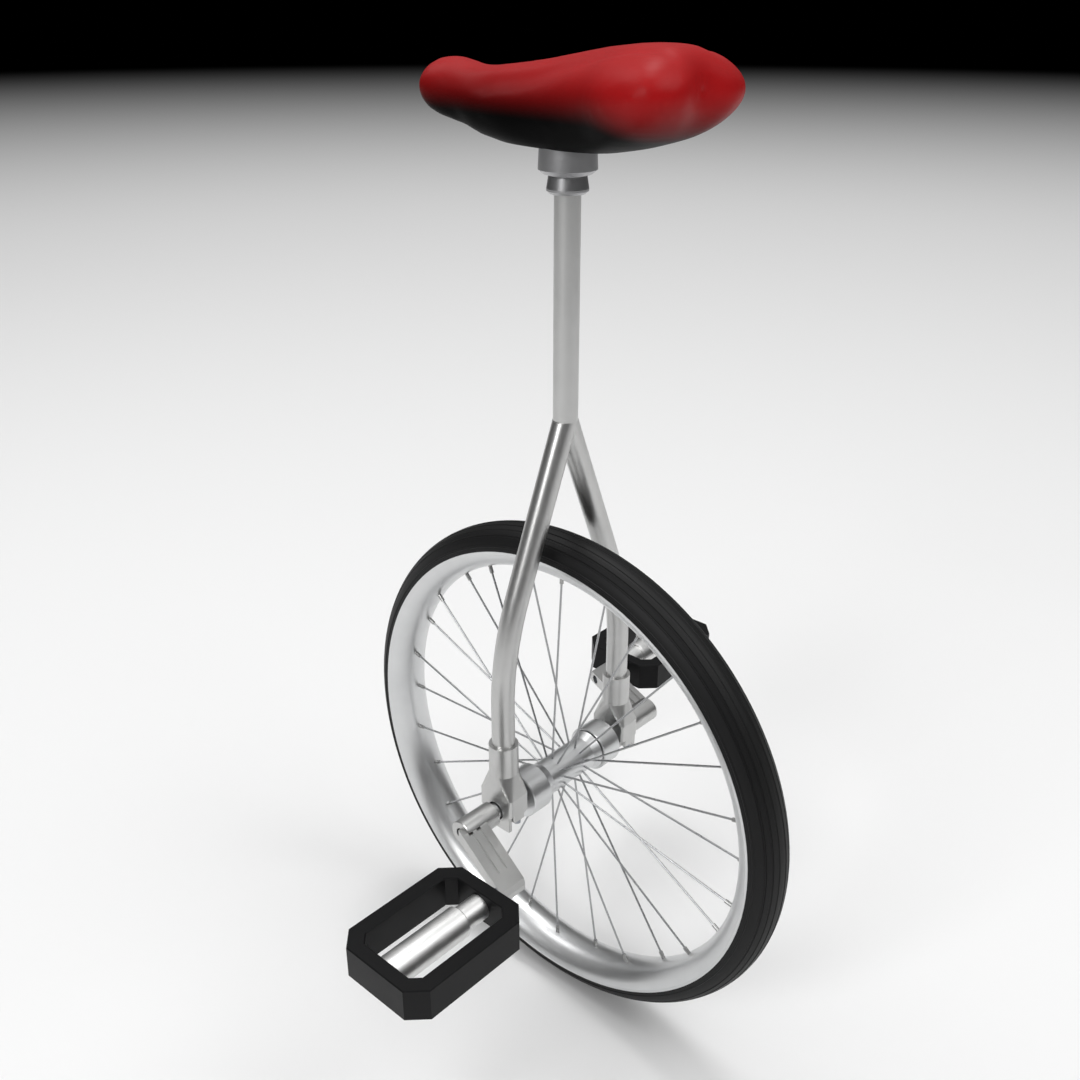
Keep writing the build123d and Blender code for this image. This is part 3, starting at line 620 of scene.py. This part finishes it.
def loftedSaddle(spec, name, shrink):
    first, last = spec["stations"][0][0], spec["stations"][-1][0]
    mesh = bmesh.new()
    rings = []
    for index in range(spec["rings"]):
        # rings crowd towards the ends
        x = first + (last - first) * (0.5 - 0.5 * math.cos(math.pi * index / (spec["rings"] - 1)))
        rings.append([mesh.verts.new(spot) for spot in saddleRing(spec, x, shrink)])
    for near, far in zip(rings, rings[1:]):
        for step in range(spec["around"]):
            after = (step + 1) % spec["around"]
            mesh.faces.new((near[step], near[after], far[after], far[step]))
    mesh.faces.new(rings[0][::-1])
    mesh.faces.new(rings[-1])
    bmesh.ops.recalc_face_normals(mesh, faces=mesh.faces)
    data = bpy.data.meshes.new(name)
    mesh.to_mesh(data)
    mesh.free()
    piece = bpy.data.objects.new(name, data)
    bpy.context.collection.objects.link(piece)
    return piece


def cutAcross(piece, height, **settings):
    editMode(piece)
    bpy.ops.mesh.select_all(action="SELECT")
    bpy.ops.mesh.bisect(plane_co=(0, 0, height), plane_no=(0, 0, 1), **settings)
    bpy.ops.object.mode_set(mode="OBJECT")


def buildSaddle(spec):
    piece = loftedSaddle(spec, "saddleCover", spec["shrink"])
    applyModifier(piece, "REMESH", mode="VOXEL", voxel_size=spec["voxel"])
    swell(piece, spec)
    applyModifier(piece, "SMOOTH", factor=0.5, iterations=spec["smoothings"])
    applyModifier(piece, "SUBSURF", levels=1, render_levels=1)
    pressSeams(piece, spec)
    # open underneath, with the edge turned in and up against the base plate
    cutAcross(piece, spec["hemHeight"], clear_inner=True)
    editMode(piece, "EDGE")
    bpy.ops.mesh.select_non_manifold(extend=False, use_wire=False, use_multi_face=False,
                                     use_non_contiguous=False, use_verts=False)
    bpy.ops.mesh.extrude_region_move(
        TRANSFORM_OT_translate={"value": (0, 0, spec["hemRise"])})
    bpy.ops.transform.resize(value=(spec["hemTurn"], spec["hemTurn"], 1),
                             center_override=(0, 0, spec["hemHeight"]))
    bpy.ops.object.mode_set(mode="OBJECT")
    applyModifier(piece, "SOLIDIFY", thickness=spec["leather"], offset=-1)
    smoothShade(piece, 60)
    return piece


def buildBase(spec):
    piece = loftedSaddle(spec, "saddlePlate", spec["baseShrink"])
    cutAcross(piece, spec["baseTop"], clear_outer=True, use_fill=True)
    # the post's head sits in a round recess
    deselectAll()
    bpy.ops.mesh.primitive_cylinder_add(
        vertices=96, radius=spec["headRadius"], depth=spec["recessDepth"],
        location=(0, 0, spec["headTop"] - spec["recessDepth"] / 2))
    recess = takeOver("recess")
    applyModifier(piece, "BOOLEAN", operation="DIFFERENCE", object=recess, solver="EXACT")
    bpy.data.objects.remove(recess)
    smoothShade(piece, 35)
    return piece


def swell(piece, spec):
    before = [point.co.copy() for point in piece.data.vertices]
    cloth = piece.modifiers.new("Cloth", "CLOTH")
    cloth.settings.quality = 5
    cloth.settings.use_pressure = True
    cloth.settings.uniform_pressure_force = spec["pressure"]
    cloth.settings.effector_weights.gravity = 0
    for frameNumber in range(1, spec["clothFrames"] + 1):
        bpy.context.scene.frame_set(frameNumber)
    deselectAll()
    piece.select_set(True)
    bpy.context.view_layer.objects.active = piece
    bpy.ops.object.modifier_apply(modifier=cloth.name)
    bpy.context.scene.frame_set(1)
    for point, start in zip(piece.data.vertices, before):
        move = point.co - start
        if move.length > spec["swellCap"]:
            point.co = start + move.normalized() * spec["swellCap"]


def ramp(value, start, end):
    # eased 0 to 1 as value goes from start to end
    share = min(1.0, max(0.0, (value - start) / (end - start)))
    return share * share * (3 - 2 * share)


def pressSeams(piece, spec):
    # sink the top panel's sewn edge, and the dish in the tail's end
    moves = []
    for point in piece.data.vertices:
        x, y, z = point.co
        topOffset = (abs(y) - spec["seamOffset"]) / spec["seamWidth"]
        top = math.exp(-topOffset ** 2) * ramp(point.normal.z, 0.15, 0.5)
        top *= ramp(x, spec["seamBack"] - 0.025, spec["seamBack"] + 0.01)
        top *= ramp(x, spec["seamFront"] + 0.012, spec["seamFront"] - 0.012)
        move = -point.normal * spec["seamDepth"] * top
        if x < -0.09 and point.normal.x < -0.2:
            out = math.hypot(y, z - spec["dishHeight"])
            move.x += spec["dishDepth"] * ramp(out, spec["dishRadius"], 0)
            move.x += spec["dimpleDepth"] * ramp(out, spec["dimpleRadius"], 0)
        moves.append(move)
    for point, move in zip(piece.data.vertices, moves):
        point.co += move


saddleCover = buildSaddle(saddle)
finishPiece(saddleCover, "seat", "coatedVinyl", ("saddle_cover", "saddle_foam"))
saddlePlate = buildBase(saddle)
finishPiece(saddlePlate, "seat", "mouldedPolypropylene", ("saddle_base",))
print("saddle done:", len(saddleCover.data.polygons), "faces")
